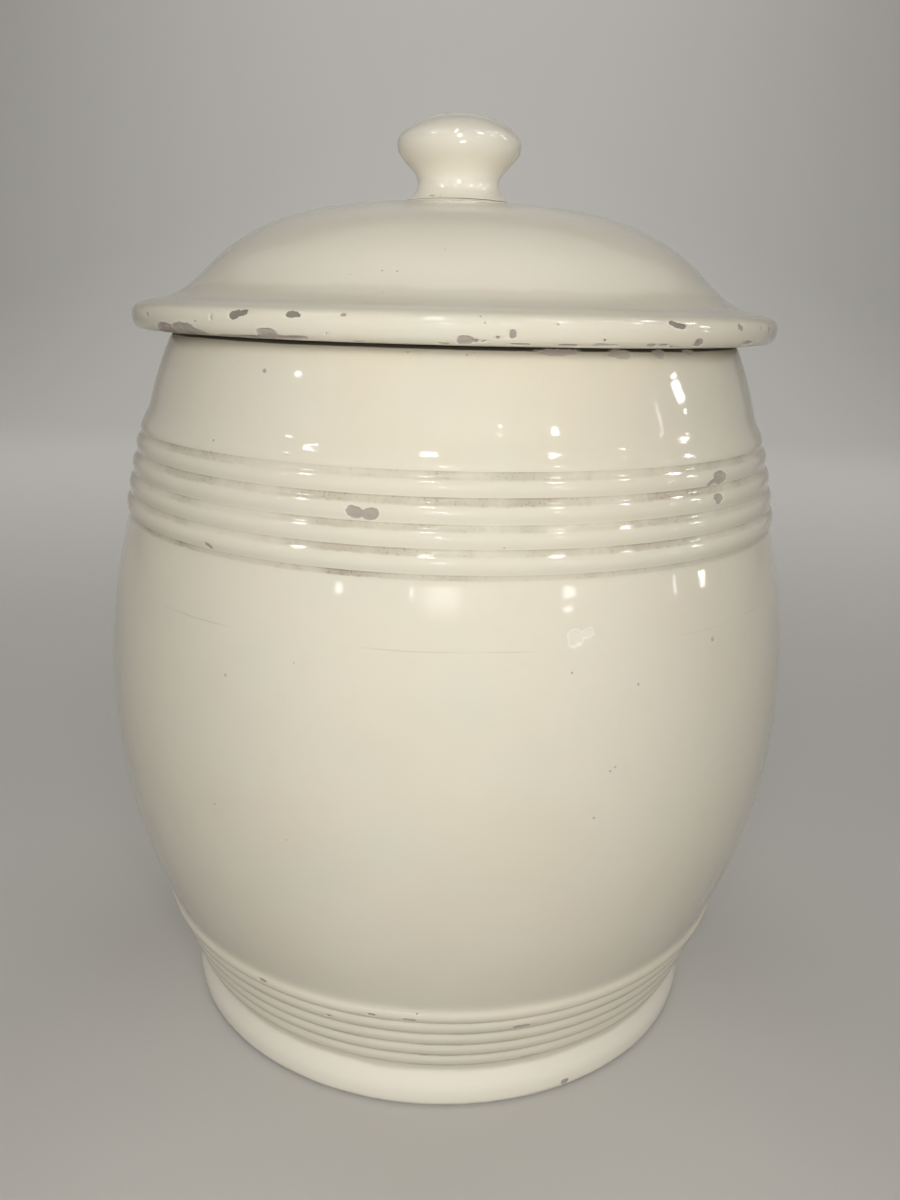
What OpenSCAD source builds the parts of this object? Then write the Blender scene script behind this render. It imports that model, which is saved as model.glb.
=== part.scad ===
// Lidded storage jar in glazed earthenware: a turned barrel with a beaded band under its
// shoulder and a beaded foot, and a domed lid with a luted-on knob that drops into the mouth.
// Millimetres, +Z up. The origin is the middle of the ring that the jar stands on.

/* [Barrel] */
// Height of the mouth, where the lid rests
jar_h = 270; // [250:1:300]
// Diameter of the barrel at its belly
belly_d = 270.8; // [256:0.2:300]
// Height of the belly above the table
belly_z = 135.5; // [110:0.5:160]
// Thickness of the barrel's wall
wall = 9; // [7:0.5:11]
// Thickness of the floor
floor_t = 9; // [6:0.5:13]
// Rounding between floor and wall, inside
floor_round = 9; // [6:0.5:16]

/* [Foot] */
// Diameter of the standing ring at the table
foot_d = 209.5; // [198:0.5:222]
// Width of the flat that the jar stands on
foot_flat_w = 8; // [5:0.5:14]
// Depth of the recess under the floor
recess_h = 5; // [3:0.5:8]
// Width of the slope from the standing ring into the recess
recess_slope_w = 4; // [2:0.5:8]
// How far the foot's rolled lip stands out past the standing ring
foot_lip_out = 2.8; // [1:0.1:5]
// Height of the lip's widest line
foot_lip_z = 5.8; // [3:0.1:8]
// Height of the cove above the lip, up to the lowest groove
foot_cove_h = 12.1; // [9:0.1:20]
// How far the cove is drawn inside the lowest groove
foot_cove_in = 2; // [0:0.1:3]
// How far the lowest groove lies inside the lip
foot_groove_in = 1.5; // [0.5:0.1:4]
// Number of fine beads round the foot
foot_beads = 4; // [2:1:6]
// Height of one fine bead
foot_bead_h = 6.4; // [4:0.1:8]
// How far a fine bead swells past its two grooves
foot_bead_swell = 1.3; // [0.5:0.1:1.6]
// How far the beads lean out, from the lowest groove to the highest
foot_flare = 9.7; // [4:0.1:12]
// Height of the large bead under the barrel
collar_h = 6.1; // [4:0.1:9]
// How far the large bead's upper edge stands out past its lower one
collar_flare = 1.9; // [1:0.1:5]
// How far the large bead swells past its two edges
collar_swell = 1.7; // [0.5:0.1:2.2]

/* [Band] */
// Number of beads in the band
band_beads = 4; // [2:1:6]
// Height of one bead
band_bead_h = 7.3; // [5:0.1:9]
// How far a bead swells past its two grooves
band_swell = 1.7; // [0.5:0.05:2]
// How far the barrel has drawn in from the belly at the band's lowest groove
band_inset = 10.1; // [6:0.1:14]
// How far the band draws in from its lowest groove to its highest
band_draw = 6.3; // [3:0.1:8]
// How far the middle of the band bows out
band_bow = 0.4; // [0:0.1:2]
// Height of the soft roll above the band
roll_h = 10; // [6:0.5:14]
// How far the shoulder starts inside the band's highest groove
roll_draw = 2.9; // [2:0.1:7]
// How far the soft roll is pulled out past the highest groove
roll_swell = 2.5; // [0.5:0.1:3]

/* [Shoulder and mouth] */
// Height of the shoulder, from the soft roll to the mouth
shoulder_h = 26; // [18:0.5:34]
// How far the shoulder's middle bows out
shoulder_bow = 0.5; // [0:0.1:2]
// Inside diameter of the mouth
mouth_d = 196.4; // [184:0.2:206]
// Width of the mouth's rim
rim_w = 10.5; // [8:0.1:13]
// Height and width of the rounding on the rim's outer edge
rim_round = 4.2; // [2:0.1:5]
// Rounding on the rim's inner edge
rim_ease = 2.5; // [1:0.1:3]
// Height of the upright throat inside the mouth
throat_h = 9; // [5:0.5:12]

/* [Lid] */
// How far the lid stands out past the mouth's rim
lid_overhang = 12.1; // [6:0.1:16]
// Clearance between the lid's skirt and the mouth, all round
skirt_clearance = 2.5; // [1:0.1:4]
// Height of the skirt that drops into the mouth
skirt_h = 11; // [7:0.5:18]
// Thickness of the skirt
skirt_t = 6; // [4:0.5:9]
// Rounding on the skirt's lower edges
skirt_round = 1.8; // [0.5:0.1:1.9]
// Height of the lid's lip at its widest line, above the seat
lid_lip_z = 5.2; // [3:0.1:6]
// Thickness of the lid's lip
lid_lip_t = 9.6; // [7:0.1:12]
// Width of the lip's rounding
lid_lip_round = 3.6; // [2.5:0.1:6]
// How far the lip's underside clears the seat
lid_lip_rise = 0.2; // [0.1:0.1:2]
// Width of the slope from the seat out to the lip's underside
lid_heel_w = 4.5; // [2:0.1:7]
// Height of the dome's steepest line above the seat
flank_z = 23; // [17:0.1:28]
// How far the dome's steepest line lies outside the skirt's inner face
flank_out = 3.4; // [1:0.1:5]
// Slope of the dome at its steepest line, in degrees
flank_deg = 46; // [35:1:55]
// Height of the crown above the seat
crown_z = 45.2; // [38:0.1:54]
// Thickness of the dome
dome_t = 7.8; // [6:0.1:10]
// Height of the boss on the crown that carries the knob
boss_h = 2.9; // [1.5:0.1:6]
// How far the boss stands out past the knob's foot
boss_ledge = 0.3; // [0.2:0.1:2]
// How far the boss spreads down to the crown
boss_spread = 1; // [0.2:0.1:2]

/* [Knob] */
// Height of the knob
knob_h = 31; // [24:0.1:36]
// Largest diameter of the knob
knob_d = 46.7; // [40:0.1:54]
// Height of the knob's widest line
knob_belly_z = 20.1; // [15:0.1:22]
// Diameter of the knob's neck
knob_neck_d = 30.8; // [24:0.1:34]
// Height of the knob's neck
knob_neck_z = 7.2; // [4:0.1:9]
// Diameter of the knob's foot
knob_foot_d = 40.8; // [35:0.1:44]

/* [Hidden] */
glaze = [0.93, 0.91, 0.85];
$fn = 128;

// Straight steps in each curve of an outline
barrel_steps = 14;
bead_steps = 6;
curve_steps = 8;

// Radii and heights that several pieces share
belly_r = belly_d / 2;
mouth_r = mouth_d / 2;
rim_r = mouth_r + rim_w;
foot_r = foot_d / 2;
foot_lip_r = foot_r + foot_lip_out;
foot_groove_r = foot_lip_r - foot_groove_in;
foot_groove_z = foot_lip_z + foot_cove_h;
collar_z = foot_groove_z + foot_beads * foot_bead_h;
barrel_foot = [foot_groove_r + foot_flare + collar_flare, collar_z + collar_h];
belly = [belly_r, belly_z];
band_top_z = jar_h - shoulder_h - roll_h;
band_foot_z = band_top_z - band_beads * band_bead_h;
shoulder_foot = [belly_r - band_inset - band_draw - roll_draw, jar_h - shoulder_h];
shoulder_top = [rim_r, jar_h - rim_round];
skirt_r = mouth_r - skirt_clearance;
skirt_in_r = skirt_r - skirt_t;
lid_r = rim_r + lid_overhang;
boss_z = crown_z + boss_h;
boss_r = knob_foot_d / 2 + boss_ledge;
knob_z = jar_h + boss_z;

// How long the arms of each free curve are, as shares of the span that the curve crosses
roll_low_share = 0.19;
roll_high_share = 0.5;
rim_arm_share = 0.55;
throat_arm_share = 0.4;
heel_arm_share = 0.6;
foot_arm_share = 0.35;
lip_arm_share = 0.55;
foot_cove_low_share = 0.8;
foot_cove_high_share = 0.28;
lid_lip_arm_share = 0.6;
crown_arm_share = 0.25;
dome_flank_arm_share = 0.44;
cove_flank_arm_share = 0.78;
cove_lip_arm_share = 0.32;
lid_lip_lean_share = 0.35;
under_rise_share = 0.64;
under_reach_share = 0.69;
under_foot_share = 0.16;
knob_foot_arm_share = 0.5;
knob_foot_rise_share = 0.3;
knob_neck_arm_share = 0.42;
knob_waist_low_share = 0.38;
knob_waist_high_share = 0.45;
knob_cap_side_share = 0.41;
knob_cap_top_share = 0.63;
quarter_share = 0.5523;

function mix(a, b, t) = a + (b - a) * t;
function rest(list) = [for (i = [1:len(list) - 1]) list[i]];
function backwards(list) = [for (i = [len(list) - 1:-1:0]) list[i]];
function heading(deg) = [cos(deg), sin(deg)];
function towards(p, q) = (q - p) / norm(q - p);

// Free curve from a to d, pulled towards b and c
function curve(a, b, c, d, n = curve_steps) =
    [for (i = [0:n]) let (t = i / n, u = 1 - t)
        u * u * u * a + 3 * u * u * t * b + 3 * u * t * t * c + t * t * t * d];

// Round swelling on the right-hand side of the line from p up to q
function swelling(p, q, rise, n = bead_steps) =
    let (span = norm(q - p), along = (q - p) / span, out = [along[1], -along[0]],
         r = (span * span / 4 + rise * rise) / (2 * rise), half = asin(span / 2 / r))
    [for (i = [0:n]) let (a = mix(-half, half, i / n))
        (p + q) / 2 + out * (r * cos(a) - r + rise) + along * r * sin(a)];

// Arc that leaves the belly upright and ends at p, and its lean there in degrees
function barrel_arc_r(b, p) =
    (pow(p[1] - b[1], 2) + pow(b[0] - p[0], 2)) / (2 * (b[0] - p[0]));
function barrel_lean(b, p) = asin((p[1] - b[1]) / barrel_arc_r(b, p));
function barrel_arc(b, p, n = barrel_steps) =
    let (r = barrel_arc_r(b, p), lean = barrel_lean(b, p))
    [for (i = [0:n]) let (a = lean * i / n) b + r * [cos(a) - 1, sin(a)]];

// Grooves, counted from the lowest
function foot_groove(k) =
    [foot_groove_r + foot_flare * k / foot_beads, foot_groove_z + k * foot_bead_h];
function band_groove(k) =
    let (t = k / band_beads)
    [belly_r - band_inset - band_draw * t + 4 * band_bow * t * (1 - t),
     band_foot_z + k * band_bead_h];

function foot_outline() =
    let (lip = [foot_lip_r, foot_lip_z], groove = foot_groove(0))
    concat(
        curve([foot_r, 0], [foot_lip_r, 0], lip - [0, foot_lip_z * lip_arm_share], lip),
        rest(curve(lip, lip + [0, foot_lip_z * foot_cove_low_share],
            groove - [foot_cove_in, foot_cove_h * foot_cove_high_share], groove)),
        [for (k = [0:foot_beads - 1])
            each rest(swelling(foot_groove(k), foot_groove(k + 1), foot_bead_swell))],
        rest(swelling(foot_groove(foot_beads), barrel_foot, collar_swell)));

function band_outline() =
    let (top = band_groove(band_beads), up = towards(shoulder_foot, shoulder_top))
    concat(
        [for (k = [0:band_beads - 1])
            each rest(swelling(band_groove(k), band_groove(k + 1), band_swell))],
        rest(curve(top, top + [roll_swell, roll_h * roll_low_share],
            shoulder_foot - up * roll_h * roll_high_share, shoulder_foot)));

function mouth_outline() =
    let (up = towards(shoulder_foot, shoulder_top), land = [rim_r - rim_round, jar_h],
         ease = [mouth_r + rim_ease, jar_h])
    concat(
        rest(swelling(shoulder_foot, shoulder_top, max(shoulder_bow, shoulder_h / 1e4))),
        rest(curve(shoulder_top, shoulder_top + up * rim_round * rim_arm_share,
            land + [rim_round * rim_arm_share, 0], land)),
        [ease],
        rest(curve(ease, ease - [rim_ease * quarter_share, 0],
            [mouth_r, jar_h - rim_ease * (1 - quarter_share)], [mouth_r, jar_h - rim_ease])));

// Inside of the jar, from the throat down to the middle of the floor
function inside_outline() =
    let (b = belly - [wall, 0], neck = shoulder_foot - [wall, 0], throat = [mouth_r, jar_h - throat_h],
         low = barrel_foot - [wall, 0], heel = [foot_groove_r - wall, recess_h + floor_t + floor_round],
         floor_edge = [heel[0] - floor_round, recess_h + floor_t],
         arm = (throat[1] - neck[1]) * throat_arm_share,
         low_arm = norm(low - heel) * foot_arm_share, down = towards(low, heel),
         neck_up = heading(90 + barrel_lean(b, neck)), low_down = heading(270 + barrel_lean(b, low)))
    concat(
        curve(throat, throat - [0, arm], neck + neck_up * arm, neck),
        rest(backwards(barrel_arc(b, neck))),
        rest(barrel_arc(b, low)),
        rest(curve(low, low + low_down * low_arm, heel - down * low_arm, heel)),
        rest(curve(heel, heel + down * floor_round * heel_arm_share,
            floor_edge + [floor_round * heel_arm_share, 0], floor_edge)),
        [[0, recess_h + floor_t]]);

module jar() {
    ring_in_r = foot_r - foot_flat_w;
    color(glaze)
        rotate_extrude()
            polygon(concat(
                [[0, recess_h], [ring_in_r - recess_slope_w, recess_h], [ring_in_r, 0]],
                foot_outline(),
                rest(backwards(barrel_arc(belly, barrel_foot))),
                rest(barrel_arc(belly, band_groove(0))),
                band_outline(),
                mouth_outline(),
                inside_outline()));
}

// Top of the lid, from the boss out and down to the lip
function lid_top_outline() =
    let (flank = [skirt_in_r + flank_out, flank_z], down = heading(-flank_deg),
         crown = [boss_r + boss_spread, crown_z], reach = flank[0] - crown[0],
         lip_top = [lid_r - lid_lip_round, lid_lip_rise + lid_lip_t],
         cove = lip_top[0] - flank[0], lean = [1, -lid_lip_lean_share])
    concat(
        [[0, boss_z], [boss_r, boss_z]],
        curve(crown, crown + [reach * crown_arm_share, 0],
            flank - down * reach * dome_flank_arm_share, flank, barrel_steps),
        rest(curve(flank, flank + down * cove * cove_flank_arm_share,
            lip_top - lean * cove * cove_lip_arm_share, lip_top)),
        rest(curve(lip_top, lip_top + lean * lid_lip_round * lid_lip_arm_share,
            [lid_r, mix(lid_lip_z, lip_top[1], lid_lip_arm_share)], [lid_r, lid_lip_z])));

// Underside of the lid, from the lip in to the middle of the dome
function lid_under_outline() =
    let (lip_under = [lid_r - lid_lip_round, lid_lip_rise], seat = [lip_under[0] - lid_heel_w, 0],
         tip = [skirt_r, skirt_round - skirt_h], tip_in = [skirt_in_r, skirt_round - skirt_h],
         top = crown_z - dome_t, foot = [skirt_in_r, top * under_foot_share])
    concat(
        rest(curve([lid_r, lid_lip_z], [lid_r, mix(lid_lip_z, lid_lip_rise, lid_lip_arm_share)],
            lip_under + [lid_lip_round * lid_lip_arm_share, 0], lip_under)),
        [seat, [skirt_r, 0]],
        curve(tip, tip - [0, skirt_round * quarter_share],
            [skirt_r - skirt_round * (1 - quarter_share), -skirt_h], [skirt_r - skirt_round, -skirt_h]),
        curve([skirt_in_r + skirt_round, -skirt_h],
            [skirt_in_r + skirt_round * (1 - quarter_share), -skirt_h],
            tip_in - [0, skirt_round * quarter_share], tip_in),
        curve(foot, [skirt_in_r, top * under_rise_share], [skirt_in_r * under_reach_share, top],
            [0, top], barrel_steps));

module lid() {
    color(glaze)
        translate([0, 0, jar_h])
            rotate_extrude()
                polygon(concat(lid_top_outline(), lid_under_outline()));
}

function knob_outline() =
    let (foot = [knob_foot_d / 2, 0], neck = [knob_neck_d / 2, knob_neck_z],
         wide = [knob_d / 2, knob_belly_z], waist_h = knob_belly_z - knob_neck_z,
         cap_h = knob_h - knob_belly_z, top = [0, knob_h])
    concat(
        [[0, 0]],
        curve(foot, [mix(foot[0], neck[0], knob_foot_arm_share), knob_neck_z * knob_foot_rise_share],
            neck - [0, knob_neck_z * knob_neck_arm_share], neck),
        rest(curve(neck, neck + [0, waist_h * knob_waist_low_share],
            wide - [0, waist_h * knob_waist_high_share], wide)),
        rest(curve(wide, wide + [0, cap_h * knob_cap_side_share],
            top + [wide[0] * knob_cap_top_share, 0], top)));

module lid_knob() {
    color(glaze)
        translate([0, 0, knob_z])
            rotate_extrude()
                polygon(knob_outline());
}

jar();
lid();
lid_knob();
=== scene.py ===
import math

import bpy
from bpy.props import FloatProperty, FloatVectorProperty, IntProperty, PointerProperty
from mathutils import Matrix, Vector, kdtree, noise


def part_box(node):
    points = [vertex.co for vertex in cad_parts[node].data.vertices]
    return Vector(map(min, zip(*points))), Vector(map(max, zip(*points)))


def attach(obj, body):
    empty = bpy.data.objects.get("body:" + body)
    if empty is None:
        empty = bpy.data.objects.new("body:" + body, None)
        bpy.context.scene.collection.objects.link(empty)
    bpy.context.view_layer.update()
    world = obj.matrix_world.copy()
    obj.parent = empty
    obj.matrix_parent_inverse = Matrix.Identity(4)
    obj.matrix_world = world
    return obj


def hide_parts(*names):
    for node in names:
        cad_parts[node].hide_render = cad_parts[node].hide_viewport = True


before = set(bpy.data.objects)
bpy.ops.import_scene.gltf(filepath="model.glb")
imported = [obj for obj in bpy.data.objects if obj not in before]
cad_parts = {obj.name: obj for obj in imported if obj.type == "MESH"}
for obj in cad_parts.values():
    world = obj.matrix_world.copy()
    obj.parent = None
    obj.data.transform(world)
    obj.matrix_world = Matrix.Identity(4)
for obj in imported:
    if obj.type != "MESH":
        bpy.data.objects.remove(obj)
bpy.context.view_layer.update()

bl_info = {
    "name": "Glazed Storage Jar",
    "version": (1, 0, 0),
    "blender": (4, 5, 0),
    "location": "3D View > Sidebar > Jar",
    "description": "A turned and glazed earthenware jar with a domed, knobbed lid, and its studio",
    "category": "Object",
}

MM = 0.001
TOUCH = 0.01 * MM  # points nearer than this are one
JAR_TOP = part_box("jar")[1]
LID_LOW, LID_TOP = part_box("lid")
KNOB_LOW, KNOB_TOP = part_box("lid_knob")


# ---------------------------------------------------------------- sizes and colours


def length_property(name, description, default):
    return FloatProperty(name=name, description=description, default=default, unit="LENGTH")


def power_property(name, description, default):
    return FloatProperty(name=name, description=description, default=default, min=0, unit="POWER")


def colour_property(name, description, default):
    return FloatVectorProperty(
        name=name, description=description, default=default, subtype="COLOR", min=0, max=1
    )


class BarrelSizes(bpy.types.PropertyGroup):
    """The turned barrel of the jar."""

    mouth_h: length_property("Mouth height", "Height of the rim that the lid rests on", JAR_TOP.z)
    belly_d: length_property("Belly", "Diameter at the widest line", 2 * JAR_TOP.x)
    belly_z: length_property("Belly height", "Height of the widest line", 0.1355)
    wall: length_property("Wall", "Thickness of the wall", 0.009)
    floor_t: length_property("Floor", "Thickness of the floor", 0.009)
    floor_round: length_property("Floor rounding", "Rounding between floor and wall, inside", 0.009)
    shoulder_h: length_property("Shoulder", "Height of the plain shoulder under the mouth", 0.026)
    shoulder_bow: length_property("Shoulder bow", "How far the shoulder bows out", 0.0005)
    mouth_d: length_property("Mouth", "Inside diameter of the mouth", 0.1964)
    rim_w: length_property("Rim width", "Width of the mouth's rim", 0.0105)
    rim_round: length_property("Rim rounding", "Rounding on the rim's outer edge", 0.0042)
    rim_ease: length_property("Rim easing", "Rounding on the rim's inner edge", 0.0025)
    throat_h: length_property("Throat", "Height of the upright throat", 0.009)


class BandSizes(bpy.types.PropertyGroup):
    """The band of beads under the shoulder."""

    beads: IntProperty(name="Beads", description="Number of beads in the band", default=4, min=2, max=6)
    bead_h: length_property("Bead height", "Height of one bead", 0.0073)
    swell: length_property("Swell", "How far a bead swells past its grooves", 0.0017)
    inset: length_property("Inset", "How far the lowest groove lies inside the belly", 0.0101)
    draw: length_property("Draw", "How far the band draws in towards its top", 0.0063)
    bow: length_property("Bow", "How far the band's middle bows out", 0.0004)
    fill: length_property("Fill", "How far the glaze that fills a groove reaches up and down", 0.001)
    roll_h: length_property("Roll height", "Height of the soft roll above the band", 0.01)
    roll_draw: length_property("Roll draw", "How far the shoulder starts inside the band", 0.0029)
    roll_swell: length_property("Roll swell", "How far the soft roll swells", 0.0025)


class FootSizes(bpy.types.PropertyGroup):
    """The beaded foot."""

    ring_d: length_property("Standing ring", "Diameter of the ring that the jar stands on", 0.2095)
    flat_w: length_property("Flat", "Width of the ring's flat", 0.008)
    recess_h: length_property("Recess", "Depth of the recess under the floor", 0.005)
    slope_w: length_property("Slope", "Width of the slope into the recess", 0.004)
    lip_out: length_property("Lip", "How far the rolled lip stands out", 0.0028)
    lip_z: length_property("Lip height", "Height of the lip's widest line", 0.0058)
    cove_h: length_property("Cove", "Height of the cove above the lip", 0.0121)
    cove_in: length_property("Cove draw", "How far the cove is drawn inside the lowest groove", 0.002)
    groove_in: length_property("Groove inset", "How far the lowest groove lies inside the lip", 0.0015)
    beads: IntProperty(name="Beads", description="Number of fine beads", default=4, min=2, max=6)
    bead_h: length_property("Bead height", "Height of one fine bead", 0.0064)
    swell: length_property("Swell", "How far a fine bead swells", 0.0013)
    flare: length_property("Flare", "How far the fine beads lean out", 0.0097)
    collar_h: length_property("Large bead", "Height of the large bead under the barrel", 0.0061)
    collar_flare: length_property("Large bead flare", "How far the large bead leans out", 0.0019)
    collar_swell: length_property("Large bead swell", "How far the large bead swells", 0.0017)


class LidSizes(bpy.types.PropertyGroup):
    """The domed lid."""

    across: length_property("Lid", "Diameter of the lid", 2 * LID_TOP.x)
    top_z: length_property("Boss top", "Height of the boss that carries the knob", LID_TOP.z)
    skirt_d: length_property("Skirt", "Outside diameter of the skirt in the mouth", 0.1914)
    skirt_h: length_property("Skirt height", "How deep the skirt hangs in the mouth", JAR_TOP.z - LID_LOW.z)
    skirt_t: length_property("Skirt thickness", "Thickness of the skirt", 0.006)
    skirt_round: length_property("Skirt rounding", "Rounding on the skirt's lower edges", 0.0018)
    lip_z: length_property("Lip height", "Height of the lip's widest line above the seat", 0.0052)
    lip_t: length_property("Lip thickness", "Thickness of the lip", 0.0096)
    lip_round: length_property("Lip rounding", "Width of the lip's rounding", 0.0036)
    lip_rise: length_property("Lip rise", "How far the lip's underside clears the seat", 0.0002)
    heel_w: length_property("Heel", "Width of the slope under the lip", 0.0045)
    flank_z: length_property("Flank height", "Height of the dome's steepest line", 0.023)
    flank_out: length_property("Flank reach", "How far the steepest line lies outside the skirt", 0.0034)
    flank_slope: FloatProperty(
        name="Flank slope", description="Slope of the dome's steepest line",
        default=math.radians(46), subtype="ANGLE",
    )
    boss_h: length_property("Boss", "Height of the boss", 0.0017)
    boss_spread: length_property("Boss spread", "How far the boss spreads at its foot", 0.0022)
    boss_d: length_property("Boss width", "Diameter of the boss at its top", 0.0414)
    dome_t: length_property("Dome thickness", "Thickness of the dome", 0.0078)


class KnobSizes(bpy.types.PropertyGroup):
    """The mushroom knob."""

    low_z: length_property("Foot height", "Height that the knob starts at", KNOB_LOW.z)
    top_z: length_property("Top height", "Height that the knob ends at", KNOB_TOP.z)
    across: length_property("Knob", "Largest diameter of the knob", 2 * KNOB_TOP.x)
    belly_z: length_property("Widest line", "Height of the widest line above the foot", 0.0201)
    neck_d: length_property("Neck", "Diameter of the neck", 0.0308)
    neck_z: length_property("Neck height", "Height of the neck above the foot", 0.0066)
    foot_d: length_property("Foot", "Diameter of the knob's foot", 0.0408)


class GlazeLook(bpy.types.PropertyGroup):
    """Colours and gloss of the fired pieces."""

    glaze: colour_property("Glaze", "The ivory tin glaze", (0.80, 0.745, 0.61))
    warm: colour_property(
        "Warm glaze", "The glaze where the body shows through a little", (0.77, 0.69, 0.55)
    )
    cool: colour_property("Cool glaze", "The glaze where it lies thick", (0.74, 0.73, 0.61))
    biscuit: colour_property("Biscuit", "The bare clay in a chip", (0.53, 0.465, 0.40))
    pale_biscuit: colour_property(
        "Pale biscuit", "The bare clay where a skin of glaze is left on it", (0.72, 0.65, 0.57)
    )
    dark_biscuit: colour_property(
        "Soiled biscuit", "The bare clay where dirt has got in", (0.23, 0.205, 0.165)
    )
    # Painted light: a lighter glaze colour laid on the foot's lip, the upper dome and the knob where more
    # light falls on them.
    painted_light_glaze: colour_property(
        "Thick glaze", "The glaze where it gathers white, as on the foot's lip", (0.93, 0.875, 0.745)
    )
    # Grime and painted shade: this colour also darkens the grooves where shade falls.
    grime_and_painted_shade: colour_property("Grime", "Dirt that has settled in the grooves", (0.34, 0.265, 0.175))
    gloss: FloatProperty(
        name="Glaze roughness", description="Roughness of the clean glaze", default=0.045, min=0, max=1
    )
    chip_depth: length_property("Chip depth", "How deep a chip goes", 0.0006)
    waviness: length_property("Waviness", "How far the hand-turned surface wanders", 0.00025)


class StudioLook(bpy.types.PropertyGroup):
    """The pale studio."""

    paper: colour_property("Paper", "The pale floor and backdrop", (0.62, 0.60, 0.565))
    key: power_property("Key light", "Power of the soft light over the camera", 1.40)
    fill: power_property("Fill lights", "Power of each of the four large soft lights round the jar", 7.9)
    foot: power_property("Foot light", "Power of the narrow soft light on the foot", 0.019)
    room: FloatProperty(
        name="Room light", description="Strength of the even light of the room", default=0.11, min=0
    )
    backdrop: FloatProperty(
        name="Backdrop", description="Brightness of the room past the paper's edge", default=0.32, min=0
    )
    back: power_property("Back light", "Power of the soft light on the jar's back", 1.0)
    sweep: power_property("Backdrop light", "Power of the light on the paper behind the jar", 30.0)
    focal: FloatProperty(
        name="Focal length", description="Focal length on a 36 mm frame, in millimetres",
        default=30.71, min=1,
    )


# ---------------------------------------------------------------- outlines

# The bare numbers below 1 say how far the arms of a free curve reach, as a share of what the curve spans.

ROUND_ARM = 0.55  # arm that makes a round corner


def between(a, b, share):
    return a + (b - a) * share


def point(r, z):
    return Vector((r, z))


def heading(angle):
    return point(math.cos(angle), math.sin(angle))


def straight(a, b, steps):
    """Points on the way from a to b, with a left out."""
    return [a.lerp(b, i / steps) for i in range(1, steps + 1)]


def free_curve(a, b, c, d, steps):
    """Points on the curve from a to d that is pulled towards b and c, with a left out."""
    made = []
    for i in range(1, steps + 1):
        t = i / steps
        u = 1 - t
        made.append(u ** 3 * a + 3 * u * u * t * b + 3 * u * t * t * c + t ** 3 * d)
    return made


def swelling(a, b, rise, steps):
    """Round swelling on the outer side of the line from a up to b, with a left out."""
    span = (b - a).length
    along = (b - a) / span
    out = point(along.y, -along.x)
    r = (span * span / 4 + rise * rise) / (2 * rise)
    half = math.asin(span / 2 / r)
    made = []
    for i in range(1, steps + 1):
        turn = between(-half, half, i / steps)
        made.append((a + b) / 2 + out * (r * math.cos(turn) - r + rise) + along * (r * math.sin(turn)))
    return made


def barrel_radius(belly, end):
    """Radius of the arc that leaves the belly upright and ends at end."""
    rise, inset = end.y - belly.y, belly.x - end.x
    return (rise * rise + inset * inset) / (2 * inset)


def barrel_lean(belly, end):
    return math.asin((end.y - belly.y) / barrel_radius(belly, end))


def barrel_arc(belly, end, steps):
    """Points on the barrel's arc from the belly to end, with the belly left out."""
    r, lean = barrel_radius(belly, end), barrel_lean(belly, end)
    turns = [lean * i / steps for i in range(1, steps + 1)]
    return [belly + r * point(math.cos(turn) - 1, math.sin(turn)) for turn in turns]


def softened(points, kept=1):
    """The outline with its corners melted as by glaze, apart from its first points and its last."""
    inner = zip(points[kept - 1:], points[kept:], points[kept + 1:])
    return points[:kept] + [b * 0.5 + (a + c) * 0.25 for a, b, c in inner] + points[-1:]


def filled(points, corner, reach):
    """The outline with the groove at corner filled by glaze that reaches so far to either side."""
    near = [i for i, p in enumerate(points) if (p - corner).length < reach]
    a, d = points[near[0] - 1], points[near[-1] + 1]
    b = a + (a - points[near[0] - 2]).normalized() * (a - corner).length * 0.6
    c = d + (d - points[near[-1] + 2]).normalized() * (d - corner).length * 0.6
    return points[:near[0]] + free_curve(a, b, c, d, 7)[:-1] + points[near[-1] + 1:]


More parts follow.
